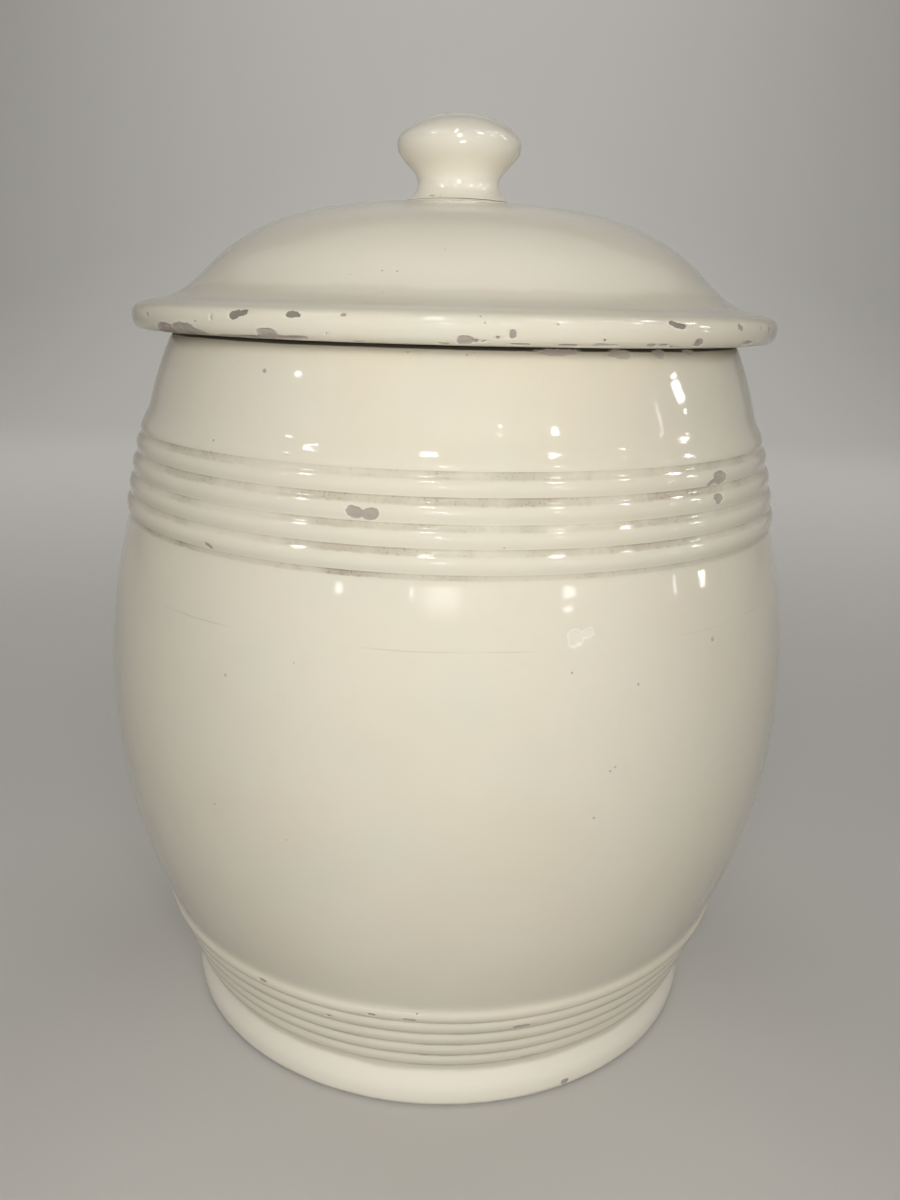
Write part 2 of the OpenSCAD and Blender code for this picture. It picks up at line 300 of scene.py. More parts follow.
def jar_outline(barrel, band, foot):
    """Outline of the jar, from the middle of its recess round the outside to the middle of its floor."""
    belly = point(barrel.belly_d / 2, barrel.belly_z)
    ring = point(foot.ring_d / 2, 0)
    lip = point(ring.x + foot.lip_out, foot.lip_z)
    groove_r, groove_z = lip.x - foot.groove_in, foot.lip_z + foot.cove_h
    groove = [
        point(groove_r + foot.flare * k / foot.beads, groove_z + k * foot.bead_h)
        for k in range(foot.beads + 1)
    ]
    barrel_foot = groove[-1] + point(foot.collar_flare, foot.collar_h)
    band_low = barrel.mouth_h - barrel.shoulder_h - band.roll_h - band.beads * band.bead_h
    bands = []
    for k in range(band.beads + 1):
        share = k / band.beads
        bow = 4 * band.bow * share * (1 - share)
        bands.append(point(belly.x - band.inset - band.draw * share + bow, band_low + k * band.bead_h))
    neck = point(belly.x - band.inset - band.draw - band.roll_draw, barrel.mouth_h - barrel.shoulder_h)
    rim_r = barrel.mouth_d / 2 + barrel.rim_w
    shoulder = point(rim_r, barrel.mouth_h - barrel.rim_round)
    up = (shoulder - neck).normalized()
    land = point(rim_r - barrel.rim_round, barrel.mouth_h)
    ease = point(barrel.mouth_d / 2 + barrel.rim_ease, barrel.mouth_h)
    edge = point(barrel.mouth_d / 2, barrel.mouth_h - barrel.rim_ease)

    points = [point(0, foot.recess_h)]
    points += straight(points[-1], point(ring.x - foot.flat_w - foot.slope_w, foot.recess_h), 6)
    points += straight(points[-1], point(ring.x - foot.flat_w, 0), 5)
    points += straight(points[-1], ring, 5)
    underside = len(points)
    points += free_curve(ring, point(lip.x, 0), lip - point(0, foot.lip_z * ROUND_ARM), lip, 8)
    cove = groove[0] - point(foot.cove_in, foot.cove_h * 0.28)
    points += free_curve(lip, lip + point(0, foot.lip_z * 0.8), cove, groove[0], 18)
    for low, high in zip(groove, groove[1:]):
        points += swelling(low, high, foot.swell, 9)
    points += swelling(groove[-1], barrel_foot, foot.collar_swell, 10)
    points += barrel_arc(belly, barrel_foot, 30)[-2::-1] + [belly]
    points += barrel_arc(belly, bands[0], 26)
    for low, high in zip(bands, bands[1:]):
        points += swelling(low, high, band.swell, 12)
    roll_low = bands[-1] + point(band.roll_swell, band.roll_h * 0.19)
    points += free_curve(bands[-1], roll_low, neck - up * band.roll_h * 0.5, neck, 10)
    points += swelling(neck, shoulder, barrel.shoulder_bow, 16)
    for corner in bands:
        points = filled(points, corner, band.fill)
    arm = barrel.rim_round * ROUND_ARM
    points += free_curve(shoulder, shoulder + up * arm, land + point(arm, 0), land, 8)
    points += straight(land, ease, 4)
    arm = barrel.rim_ease * ROUND_ARM
    points += free_curve(ease, ease - point(arm, 0), edge + point(0, arm), edge, 5)
    outer = len(points)

    inner_belly = belly - point(barrel.wall, 0)
    inner_neck = neck - point(barrel.wall, 0)
    throat = point(barrel.mouth_d / 2, barrel.mouth_h - barrel.throat_h)
    low = barrel_foot - point(barrel.wall, 0)
    heel = point(groove_r - barrel.wall, foot.recess_h + barrel.floor_t + barrel.floor_round)
    floor_edge = heel - point(barrel.floor_round, barrel.floor_round)
    arm = (throat.y - inner_neck.y) * 0.4
    upwards = heading(math.pi / 2 + barrel_lean(inner_belly, inner_neck))
    points += straight(edge, throat, 4)
    points += free_curve(throat, throat - point(0, arm), inner_neck + upwards * arm, inner_neck, 10)
    points += barrel_arc(inner_belly, inner_neck, 16)[-2::-1] + [inner_belly]
    points += barrel_arc(inner_belly, low, 14)
    arm = (low - heel).length * 0.35
    downwards = heading(1.5 * math.pi + barrel_lean(inner_belly, low))
    slope = (low - heel).normalized()
    points += free_curve(low, low + downwards * arm, heel + slope * arm, heel, 5)
    arm = barrel.floor_round * 0.6
    points += free_curve(heel, heel - slope * arm, floor_edge + point(arm, 0), floor_edge, 6)
    points += straight(floor_edge, point(0, floor_edge.y), 8)
    return softened(points, underside), outer


def lid_outline(lid, seat_z):
    """Outline of the lid, from its boss over the dome, round the lip and the skirt and back inside."""
    lid_r, skirt_r = lid.across / 2, lid.skirt_d / 2
    skirt_in = skirt_r - lid.skirt_t
    boss_z = lid.top_z - seat_z
    crown_z = boss_z - lid.boss_h
    boss = point(lid.boss_d / 2, boss_z)
    crown = point(boss.x + lid.boss_spread, crown_z)
    flank = point(skirt_in + lid.flank_out, lid.flank_z)
    down = heading(-lid.flank_slope)
    lip_top = point(lid_r - lid.lip_round, lid.lip_rise + lid.lip_t)
    lip = point(lid_r, lid.lip_z)
    under = point(lid_r - lid.lip_round, lid.lip_rise)
    reach, cove = flank.x - crown.x, lip_top.x - flank.x
    lean = point(1, -0.35)

    points = [point(0, boss_z)]
    points += straight(points[-1], boss - point(0.6 * MM, 0), 5)
    points += straight(points[-1], boss, 2)
    points += straight(boss, crown, 8)
    points += free_curve(crown, crown + point(reach * 0.25, 0), flank - down * reach * 0.44, flank, 40)
    points += free_curve(flank, flank + down * cove * 0.78, lip_top - lean * cove * 0.32, lip_top, 24)
    arm = lid.lip_round * 0.6
    above, below = (point(lid_r, between(lid.lip_z, z, 0.6)) for z in (lip_top.y, lid.lip_rise))
    points += free_curve(lip_top, lip_top + lean * arm, above, lip, 14)
    points += free_curve(lip, below, under + point(arm, 0), under, 13)
    outer = len(points)
    seat = point(under.x - lid.heel_w, 0)
    points += straight(under, seat, 4)
    points += straight(seat, point(skirt_r, 0), 8)
    tip, tip_in = (point(r, lid.skirt_round - lid.skirt_h) for r in (skirt_r, skirt_in))
    turn = point(skirt_r - lid.skirt_round, -lid.skirt_h)
    turn_in = point(skirt_in + lid.skirt_round, -lid.skirt_h)
    arm = lid.skirt_round * ROUND_ARM
    points += straight(point(skirt_r, 0), tip, 6)
    points += free_curve(tip, tip - point(0, arm), turn + point(arm, 0), turn, 4)
    points += straight(turn, turn_in, 2)
    points += free_curve(turn_in, turn_in - point(arm, 0), tip_in - point(0, arm), tip_in, 4)
    top = crown_z - lid.dome_t
    inner = point(skirt_in, top * 0.16)
    points += straight(tip_in, inner, 6)
    points += free_curve(inner, point(skirt_in, top * 0.64), point(skirt_in * 0.69, top), point(0, top), 30)
    return [p + point(0, seat_z) for p in softened(points, 6)], outer


def knob_outline(knob):
    """Outline of the knob, from the middle of its foot up to the middle of its cap."""
    foot = point(knob.foot_d / 2, 0)
    neck = point(knob.neck_d / 2, knob.neck_z)
    wide = point(knob.across / 2, knob.belly_z)
    top = point(0, knob.top_z - knob.low_z)
    waist, cap = wide.y - neck.y, top.y - wide.y
    points = [point(0, 0)]
    points += straight(points[-1], foot - point(0.6 * MM, 0), 4)
    points += straight(points[-1], foot, 2)
    toe = point(between(foot.x, neck.x, 0.5), knob.neck_z * 0.3)
    points += free_curve(foot, toe, neck - point(0, knob.neck_z * 0.42), neck, 12)
    points += free_curve(neck, neck + point(0, waist * 0.38), wide - point(0, waist * 0.45), wide, 18)
    points += free_curve(wide, wide + point(0, cap * 0.41), top + point(wide.x * 0.63, 0), top, 26)
    return [p + point(0, knob.low_z) for p in softened(points, 5)]


# ---------------------------------------------------------------- turning and chipping

CHIP_SQUARENESS = 2.6  # 2 makes a chip an ellipse, and more makes it squarer
CHIP_SLOPE = 0.22  # how far in from its edge a chip reaches its depth, as a share of its half width


def pick_only(obj):
    """Leaves obj as the one selected and active object."""
    bpy.ops.object.select_all(action="DESELECT")
    obj.select_set(True)
    bpy.context.view_layer.objects.active = obj


def turn_piece(name, outline, sides):
    """Draws the outline point by point from one vertex and turns it round the upright axis."""
    if bpy.context.object and bpy.context.object.mode != "OBJECT":
        bpy.ops.object.mode_set(mode="OBJECT")
    bpy.ops.object.select_all(action="DESELECT")
    start = outline[0]
    bpy.ops.mesh.primitive_plane_add(size=MM, location=(0, 0, 0))
    obj = bpy.context.object
    obj.name = obj.data.name = name
    bpy.ops.object.mode_set(mode="EDIT")
    bpy.ops.mesh.select_mode(type="VERT")
    bpy.ops.mesh.select_all(action="SELECT")
    bpy.ops.mesh.merge(type="CENTER")
    bpy.ops.transform.translate(value=(start.x, 0, start.y))
    for before, after in zip(outline, outline[1:]):
        step = after - before
        bpy.ops.mesh.extrude_region_move(TRANSFORM_OT_translate={"value": (step.x, 0, step.y)})
    bpy.ops.mesh.select_all(action="SELECT")
    bpy.ops.mesh.spin(steps=sides, angle=2 * math.pi, center=(0, 0, 0), axis=(0, 0, 1))
    bpy.ops.mesh.select_all(action="SELECT")
    bpy.ops.mesh.remove_doubles(threshold=TOUCH)
    bpy.ops.mesh.select_all(action="SELECT")
    bpy.ops.mesh.normals_make_consistent(inside=False)
    bpy.ops.mesh.select_all(action="DESELECT")
    bpy.ops.object.mode_set(mode="OBJECT")
    return obj


def radius_at(outline, z):
    """Largest radius of the outline at a height."""
    found = [
        between(a.x, b.x, (z - a.y) / (b.y - a.y))
        for a, b in zip(outline, outline[1:])
        if min(a.y, b.y) <= z <= max(a.y, b.y) and a.y != b.y
    ]
    if not found:
        raise ValueError(f"the outline has no point at height {z}")
    return max(found)


def out_from_front(angle):
    """Direction out of the axis, at an angle in degrees from the front, to the right if positive."""
    return Vector((math.sin(math.radians(angle)), -math.cos(math.radians(angle)), 0))


def place_on(outline, angle, height):
    """Place on the outside of a piece, at an angle from the front and a height as in the lists."""
    return out_from_front(angle) * radius_at(outline, height * MM) + Vector((0, 0, height * MM))


def chip_reach(chip):
    """How far from its middle a chip can still reach, its ragged edge included."""
    return max(chip[2], chip[3]) * MM * 0.75 + 1.5 * MM


def chip_strength(spot, chip, centre):
    """1 in the middle of a chip, 0 on its ragged edge and below 0 outside it."""
    angle, _, width, tall, turn, soil = chip
    away = spot - centre
    side = Vector((math.cos(math.radians(angle)), math.sin(math.radians(angle)), 0))
    u = away.dot(side)
    v = math.copysign(math.sqrt(max(away.length_squared - u * u, 0)), away.z)
    lean = math.radians(turn)
    u, v = u * math.cos(lean) + v * math.sin(lean), v * math.cos(lean) - u * math.sin(lean)
    ragged = noise.fractal(spot * 420, 1.0, 2.0, 3) * (0.14 + 0.3 * abs(soil))
    u, v = abs(u) / (width * MM / 2), abs(v) / (tall * MM / 2)
    return 1 - (u ** CHIP_SQUARENESS + v ** CHIP_SQUARENESS) ** (1 / CHIP_SQUARENESS) + ragged


def vertex_tree(mesh):
    """The mesh's vertices, to be found by their place."""
    tree = kdtree.KDTree(len(mesh.vertices))
    for v in mesh.vertices:
        tree.insert(v.co, v.index)
    tree.balance()
    return tree


def refine_round_chips(obj, outline, chips, cuts):
    """Cuts the edges that run round the piece where chips lie, so that chips show an edge."""
    mesh = obj.data
    tree = vertex_tree(mesh)
    near = set()
    for chip in chips:
        centre = place_on(outline, chip[0], chip[1])
        near.update(i for _, i, _ in tree.find_range(centre, chip_reach(chip) + 2 * MM))
    for item in (*mesh.polygons, *mesh.edges, *mesh.vertices):
        item.select = False
    for edge in mesh.edges:
        a, b = edge.vertices
        if a in near and b in near and abs(mesh.vertices[a].co.z - mesh.vertices[b].co.z) < TOUCH:
            if abs(mesh.vertices[a].co.xy.length - mesh.vertices[b].co.xy.length) < TOUCH:
                edge.select = True
                mesh.vertices[a].select = mesh.vertices[b].select = True
    pick_only(obj)
    bpy.ops.object.mode_set(mode="EDIT")
    bpy.ops.mesh.select_mode(type="EDGE")
    bpy.ops.mesh.subdivide(number_cuts=cuts)
    bpy.ops.mesh.select_all(action="DESELECT")
    bpy.ops.object.mode_set(mode="OBJECT")


def knock_chips(obj, outline, chips, attribute, depth):
    """Sinks the chips; attributes keep how far each vertex lies in one and how soiled it is."""
    mesh = obj.data
    tree = vertex_tree(mesh)
    strength = [-1.0] * len(mesh.vertices)
    soil = [0.0] * len(mesh.vertices)
    for chip in chips:
        centre = place_on(outline, chip[0], chip[1])
        for spot, i, _ in tree.find_range(centre, chip_reach(chip)):
            here = chip_strength(spot, chip, centre)
            if here > strength[i]:
                strength[i], soil[i] = here, chip[5]
    group = obj.vertex_groups.new(name=attribute + "_depth")
    for i, value in enumerate(strength):
        if value > 0:
            uneven = 0.75 + 0.25 * noise.noise(mesh.vertices[i].co * 900)
            group.add([i], min(value / CHIP_SLOPE, 1) * uneven, "REPLACE")
    pick_only(obj)
    sink = obj.modifiers.new(attribute, "DISPLACE")
    sink.vertex_group = group.name
    sink.strength = -depth
    sink.mid_level = 0
    bpy.ops.object.modifier_apply(modifier=sink.name)
    obj.vertex_groups.clear()
    for name, values in ((attribute, strength), (attribute + "_soil", soil)):
        layer = mesh.attributes.new(name, "FLOAT", "POINT")
        layer.data.foreach_set("value", values)


def wander(obj, amount, grain):
    """Lets the turned surface wander a little, always inwards, as a hand-turned and fired surface does."""
    cloud = bpy.data.textures.new("hand_turning", "CLOUDS")
    cloud.noise_scale = grain
    cloud.noise_depth = 1
    pick_only(obj)
    dent = obj.modifiers.new("wander", "DISPLACE")
    dent.texture = cloud
    dent.texture_coords = "LOCAL"
    dent.strength = amount
    dent.mid_level = 1
    bpy.ops.object.modifier_apply(modifier=dent.name)


def finish_faces(obj, finishes, which):
    """Gives each face the finish that its place calls for."""
    for finish in finishes:
        obj.data.materials.append(finish)
    for face in obj.data.polygons:
        face.material_index = which(face)
    pick_only(obj)
    bpy.ops.object.shade_smooth_by_angle(angle=math.radians(50))


# ---------------------------------------------------------------- finishes


class Wire:
    """A value in a material, so that a sum of values reads as a sum."""

    def __init__(self, finish, socket):
        self.finish, self.socket = finish, socket

    def maths(self, operation, *others):
        inputs = dict(enumerate((self, *others)))
        return self.finish.add("Math", {"operation": operation}, inputs)

    def __add__(self, other):
        return self.maths("ADD", other)

    def __radd__(self, other):
        return self.maths("ADD", other)

    def __sub__(self, other):
        return self.maths("SUBTRACT", other)

    def __rsub__(self, other):
        return self.finish.add("Math", {"operation": "SUBTRACT"}, {0: other, 1: self})

    def __mul__(self, other):
        return self.maths("MULTIPLY", other)

    def __rmul__(self, other):
        return self.maths("MULTIPLY", other)

    def __truediv__(self, other):
        return self.maths("DIVIDE", other)

    def __rtruediv__(self, other):
        return self.finish.add("Math", {"operation": "DIVIDE"}, {0: other, 1: self})

    def __neg__(self):
        return self * -1.0

    def __abs__(self):
        return self.maths("ABSOLUTE")

    def least(self, other):
        return self.maths("MINIMUM", other)

    def most(self, other):
        return self.maths("MAXIMUM", other)

    def rising(self, low, high):
        """0 below low, 1 above high and a smooth rise between them; it falls if high is below low."""
        settings = {"interpolation_type": "SMOOTHSTEP"}
        inputs = {"Value": self, "From Min": min(low, high), "From Max": max(low, high)}
        risen = self.finish.add("MapRange", settings, inputs)
        return risen if low < high else 1.0 - risen


class Finish:
    """A material, and the one way in which its nodes are added."""

    def __init__(self, name):
        self.material = bpy.data.materials.new(name)
        self.material.use_nodes = True
        self.tree = self.material.node_tree
        self.tree.nodes.clear()
        self.place = self.add("TexCoord", output="Object")
        axes = self.add("SeparateXYZ", inputs={0: self.place}, output=None)
        self.y, self.z = (Wire(self, axes.outputs[axis]) for axis in ("Y", "Z"))

    def add(self, kind, settings=None, inputs=None, output=0):
        """Adds a node with its settings and inputs; gives the wire of one output, or the node."""
        node = self.tree.nodes.new("ShaderNode" + kind)
        for key, value in (settings or {}).items():
            setattr(node, key, value)
        for key, value in (inputs or {}).items():
            if isinstance(value, Wire):
                self.tree.links.new(value.socket, node.inputs[key])
            else:
                node.inputs[key].default_value = value
        return node if output is None else Wire(self, node.outputs[output])

    def grain(self, per_metre, detail=2.0, roughness=0.5, squash=None):
        """Cloudy noise from 0 to 1, with so many clouds to a metre; squash stretches them."""
        place = self.place
        if squash:
            place = self.add("Mapping", inputs={"Vector": place, "Scale": squash})
        inputs = {"Vector": place, "Scale": per_metre, "Detail": detail, "Roughness": roughness}
        return self.add("TexNoise", inputs=inputs)

    def blend(self, share, a, b):
        """Colour a where share is 0 and colour b where it is 1."""
        tint = [(*c, 1.0) if not isinstance(c, Wire) and len(c) == 3 else c for c in (a, b)]
        return self.add("Mix", {"data_type": "RGBA"}, {0: share, 6: tint[0], 7: tint[1]}, output=2)

    def mark(self, name):
        return self.add("Attribute", {"attribute_name": name}, output="Fac")

    def seen(self):
        """1 for rays that look at it, straight or in a reflection, and 0 for those that carry its light."""
        path = self.add("LightPath", output=None)
        kinds = ("Camera", "Glossy", "Transmission")
        camera, glossy, through = (Wire(self, path.outputs[f"Is {kind} Ray"]) for kind in kinds)
        return camera.most(glossy).most(through)

    def spots(self, places):
        """How far away the nearest of some small round spots is, 1 on its edge."""
        nearest = None
        for centre, radius in places:
            inputs = {0: self.place, 1: centre}
            away = self.add("VectorMath", {"operation": "DISTANCE"}, inputs, output="Value") / (radius * MM)
            nearest = away if nearest is None else nearest.least(away)
        return nearest

    def pinholes(self, per_metre, few, radius):
        """Small holes scattered thinly all over: 1 in a hole."""
        inputs = {"Vector": self.place, "Scale": per_metre}
        cells = self.add("TexVoronoi", {"feature": "F1"}, inputs, output=None)
        away = Wire(self, cells.outputs["Distance"]) / per_metre
        chance = self.add("SeparateColor", inputs={0: Wire(self, cells.outputs["Color"])})
        size = (chance - (1 - few)) * (radius * MM / few)
        return (away - size).rising(0.06 * MM, -0.06 * MM)

    def close(self, colour, roughness, normal=None):
        """Joins the shader and the material's output."""
        inputs = {"Base Color": colour, "Roughness": roughness, "IOR": 1.52}
        if normal is not None:
            inputs["Normal"] = normal
        shader = self.add("BsdfPrincipled", inputs=inputs)
        self.add("OutputMaterial", inputs={"Surface": shader}, output=None)
        return self.material


class Air(Finish):
    """The room's even light, whose nodes are added in the same way."""

    def __init__(self, world):
        world.use_nodes = True
        self.tree = world.node_tree
        self.tree.nodes.clear()


def glaze_finish(
    name, look, specks=(), grooves=(), worn=(), tints=(), hairline=None, dull=(), chipped=True, flaked=False
):
    """The ivory glaze: clouded, wavy, pinholed, with dirt and painted shade in grooves and bare clay in
    chips.

    A tint is: lowest and highest height, colour, strength, and how far its edge strays. A worn strip is:
    lowest and highest height, and how much of it is bare. A hairline is: height and strength. Specks and
    dull spots are places with a radius. Heights, radii and straying are in millimetres.
    """
    f = Finish(name)
    cloud = f.grain(13, 3, 0.55)
    drift = f.grain(31, 2, 0.5)
    mottle = f.grain(140, 3, 0.6)
    colour = f.blend(cloud.rising(0.42, 0.68) * 0.55, look.glaze, look.warm)
    colour = f.blend(drift.rising(0.48, 0.75) * 0.45, colour, look.cool)
    colour = f.blend(mottle.rising(0.5, 0.8) * 0.25, colour, look.warm)

    for low, high, tint, strong, stray in tints:
        edge = f.z + (f.grain(40, 3, 0.6) - 0.5) * (stray * MM)
        soft = 0.25 * stray
        above = edge.rising((low - soft) * MM, (low + soft) * MM)
        below = edge.rising((high + soft) * MM, (high - soft) * MM)
        colour = f.blend(above * below * strong, colour, tint)

    # Dirt and painted shade in the grooves; the darker line along each strip's upper edge is painted shadow
    # under the bead above.
    dirt_and_painted_shade = None
    smear = f.grain(30, 4, 0.65)
    ragged = (f.grain(300, 3, 0.6) - 0.5) * (0.9 * MM)
    speckle = f.grain(900, 2, 0.6).rising(0.56, 0.70)
    for groove, above, below, strong, front in grooves:
        low, high = (groove - below) * MM, (groove + above) * MM
        upper = f.z + ragged * 0.2
        strip = (f.z + ragged).rising(low, low + 0.5 * below * MM)
        strip = strip * upper.rising(high + 0.12 * MM, high - 0.12 * MM)
        line = upper.rising(high - 0.6 * MM, high - 0.15 * MM)
        gather = (smear + (-f.y) * front).rising(0.5, 0.85) * 0.8 + 0.2
        here = strip * gather * (0.75 + line * 0.45 + speckle * 0.6) * strong
        dirt_and_painted_shade = here if dirt_and_painted_shade is None else dirt_and_painted_shade.most(here)
    if dirt_and_painted_shade is not None:
        colour = f.blend(dirt_and_painted_shade, colour, look.grime_and_painted_shade)

    bare = f.pinholes(70, 0.06, 0.45)
    for low, high, few in worn:
        strip = f.z.rising((low - 0.4) * MM, low * MM) * f.z.rising((high + 0.4) * MM, high * MM)
        rubbed = f.grain(150, 4, 0.6, squash=(1, 1, 2.5)).rising(1 - few, 1.02 - few)
        bare = bare.most(strip * rubbed)
    if specks:
        bare = bare.most((f.spots(specks) + (f.grain(900, 2) - 0.5) * 1.2).rising(1.08, 0.85))
    soiled = f.grain(260, 4, 0.65).rising(0.35, 0.75) * 0.35
    if chipped:
        soiled = soiled.most(f.mark("chip_soil"))
        edge = f.mark("chip") + (f.grain(1100, 3, 0.6) - 0.5) * 0.3
        bare = bare.most(edge.rising(-0.03, 0.05))
        # Painted highlight: a pale ring round each chip, where its glaze edge would catch the light.
        colour = f.blend(edge.rising(-0.3, -0.06) * 0.35, colour, (0.9, 0.86, 0.76))
    clay = f.blend(soiled, look.biscuit, look.dark_biscuit)
    if chipped:
        clay = f.blend((-f.mark("chip_soil")).most(0.0), clay, look.pale_biscuit)
    colour = f.blend(bare, colour, clay)
    if flaked:
        flake = f.mark("flake") + (f.grain(900, 3, 0.6) - 0.5) * 0.12
        inside = flake.rising(0.0, 0.05)
        colour = f.blend(inside * 0.6, colour, (0.86, 0.81, 0.70))
        # Painted highlight: a lighter rim along the flake's edge.
        colour = f.blend(inside * flake.rising(0.26, 0.06) * 0.6, colour, (0.95, 0.91, 0.78))

    if hairline is not None:
        height, strong = hairline
        wobble = (f.grain(24, 2) - 0.5) * (1.6 * MM)
        line = abs(f.z - height * MM + wobble).rising(0.32 * MM, 0.06 * MM)
        line = line * f.grain(18, 3).rising(0.46, 0.62) * strong
        colour = f.blend(line, colour, look.grime_and_painted_shade)

    roughness = look.gloss + mottle * 0.03 + bare * 0.65
    if dirt_and_painted_shade is not None:
        roughness = roughness + dirt_and_painted_shade * 0.04
    if dull:
        roughness = roughness + f.spots(dull).rising(1.3, 0.5) * 0.11
    ripple = f.grain(55, 2, 0.5, squash=(1, 1, 1.6)) * 0.00009
    dimple = f.grain(420, 2, 0.5) * 0.000006
    pitted = f.grain(2400, 3, 0.7) * bare * 0.00009
    normal = f.add("Bump", inputs={"Strength": 1.0, "Distance": 1.0, "Height": ripple + dimple + pitted})
    return f.close(colour, roughness, normal)


def biscuit_finish(name, look):
    """Bare fired clay, as on the ring that the jar stands on."""
    f = Finish(name)
    mottle = f.grain(60, 4, 0.6)
    fleck = f.grain(900, 3, 0.7)
    colour = f.blend(mottle.rising(0.35, 0.7), (0.50, 0.43, 0.34), (0.40, 0.335, 0.26))
    colour = f.blend(fleck.rising(0.58, 0.72) * 0.5, colour, look.dark_biscuit)
    roughness = 0.72 + mottle * 0.2
    normal = f.add("Bump", inputs={"Strength": 1.0, "Distance": 1.0, "Height": fleck * 0.00006})
    return f.close(colour, roughness, normal)


# ---------------------------------------------------------------- what the years have done to it
# Each chip is: angle from the front, height, width round the piece, height of the chip, turn, and how soiled
# it is, below 0 where a skin of glaze is left on it. Angles are in degrees and lengths in millimetres. Each
# speck is: angle from the front, height and radius.

LID_CHIPS = (
    (1.4, 271.8, 4.9, 3.0, 8, 0.25),
    (2.9, 271.8, 1.3, 1.2, 0, 0.5),
    (3.9, 271.7, 1.7, 0.8, 30, 0.3),
    (5.8, 272.9, 1.3, 1.1, 0, 0.5),
    (7.8, 273.7, 2.0, 2.9, 0, 0.45),
    (8.9, 271.0, 6.0, 1.1, 0, 0.1),
    (-1.5, 270.8, 3.0, 0.9, 0, 0.4),
    (15.7, 270.9, 5.6, 1.2, 0, 0.2),
    (21.2, 271.0, 9.0, 1.6, 0, -0.6),
    (21.0, 272.6, 0.9, 0.8, 0, 0.6),
    (28.9, 271.1, 3.4, 1.7, 0, 0.1),
    (31.2, 271.2, 3.4, 1.4, 0, 0.1),
    (32.6, 277.5, 3.8, 2.0, -15, 0.85),
    (33.9, 277.0, 3.2, 2.1, -15, 0.85),
    (38.1, 271.9, 3.6, 2.8, 0, 0.4),
    (48.4, 276.8, 3.6, 2.0, -25, 0.5),
    (56.6, 276.5, 1.3, 1.2, 0, 0.5),
    (61.2, 275.8, 2.6, 2.6, 0, 0.2),
    (52.0, 271.6, 8.0, 1.8, 0, -0.7),
    (-56.7, 275.8, 1.6, 1.3, 0, 0.6),
    (-50.6, 270.9, 13.0, 6.2, 0, 0.0),
    (-44.9, 271.2, 13.0, 6.3, 0, 0.0),
    (-40.8, 270.5, 9.0, 3.8, -20, 0.0),
    (-41.4, 274.5, 0.8, 0.8, 0, 0.4),
    (-37.5, 276.0, 0.7, 2.2, 0, 0.3),
    (-32.7, 277.1, 4.0, 2.9, 15, 0.9),
    (-31.3, 277.6, 3.8, 2.4, 15, 0.9),
    (-22.7, 277.8, 5.2, 2.5, 0, 0.9),
    (-15.2, 278.0, 1.8, 1.2, 0, 0.5),
    (-34.2, 270.4, 12.0, 2.0, 0, 0.0),
    (-30.0, 270.5, 13.0, 2.2, 0, 0.0),
    (-27.2, 271.3, 7.4, 5.0, 0, 0.0),
    (-25.0, 270.7, 12.0, 2.3, 0, 0.0),
    (-22.4, 270.9, 8.0, 2.0, 0, 0.0),
    (-17.7, 272.5, 0.8, 1.0, 0, 0.6),
    (118.0, 272.2, 8.0, 2.6, 0, 0.1),
    (164.0, 277.0, 3.4, 2.0, 12, 0.7),
    (-112.0, 271.6, 12.0, 2.8, 0, 0.0),
    (-151.0, 277.4, 2.4, 1.5, 0, 0.7),
)
JAR_CHIPS = (
    (-13.0, 222.4, 5.6, 3.8, -12, 0.3),
    (-10.9, 222.3, 5.6, 3.9, 12, 0.25),
    (45.7, 229.9, 7.6, 4.6, 0, 0.15),
    (43.6, 228.5, 5.0, 1.8, 25, 0.15),
    (44.6, 223.9, 5.0, 2.8, 0, 0.2),
    (44.6, 222.8, 2.8, 2.4, 0, 0.2),
    (-36.9, 206.8, 3.2, 1.3, -25, 0.5),
    (-11.1, 46.5, 3.0, 1.4, 0, 0.4),
    (-4.7, 45.7, 4.8, 1.8, 0, 0.1),
    (-3.4, 48.6, 1.2, 0.9, 0, 0.4),
    (-19.2, 40.2, 2.0, 1.2, 0, 0.5),
    (14.9, 39.4, 6.4, 2.5, 0, 0.1),
    (17.6, 19.6, 6.2, 1.9, 0, 0.1),
    (26.8, 3.1, 3.2, 2.7, 0, 0.3),
    (-32.0, 47.4, 3.6, 1.3, 0, 0.4),
    (16.8, 268.8, 13.0, 2.6, 0, -1.0),
    (28.2, 268.4, 8.0, 3.4, 0, -0.8),
    (36.5, 268.4, 5.4, 3.6, 0, -0.8),
    (44.5, 268.7, 5.0, 2.2, 0, -1.0),
    (133.0, 228.2, 4.0, 2.2, 0, 0.4),
    (-141.0, 45.2, 5.0, 2.0, 0, 0.4),
    (158.0, 5.2, 4.0, 2.2, 0, 0.4),
    (-120.0, 269.4, 14.0, 3.6, 0, 0.0),
)
JAR_FLAKES = (
    (17.2, 187.0, 5.2, 5.4, 25, 0.0),
    (19.0, 188.1, 4.6, 3.2, 20, 0.0),
    (16.6, 185.2, 2.6, 2.0, -30, 0.0),
)
JAR_SPECKS = (
    (-31.4, 260.5, 0.75), (-39.1, 238.6, 0.5), (-39.0, 235.2, 0.4), (40.9, 179.6, 0.8),
    (26.5, 170.8, 0.5), (16.6, 176.7, 0.35), (23.1, 145.5, 0.4), (22.4, 144.3, 0.4),
    (20.4, 129.1, 0.4), (-31.2, 168.5, 0.5), (-20.4, 176.6, 0.35), (-33.4, 123.2, 0.45), (-21.3, 118.0, 0.3),
    (-7.2, 267.7, 0.4), (3.2, 268.0, 0.3), (2.0, 267.4, 0.35), (7.4, 213.7, 0.4),
)
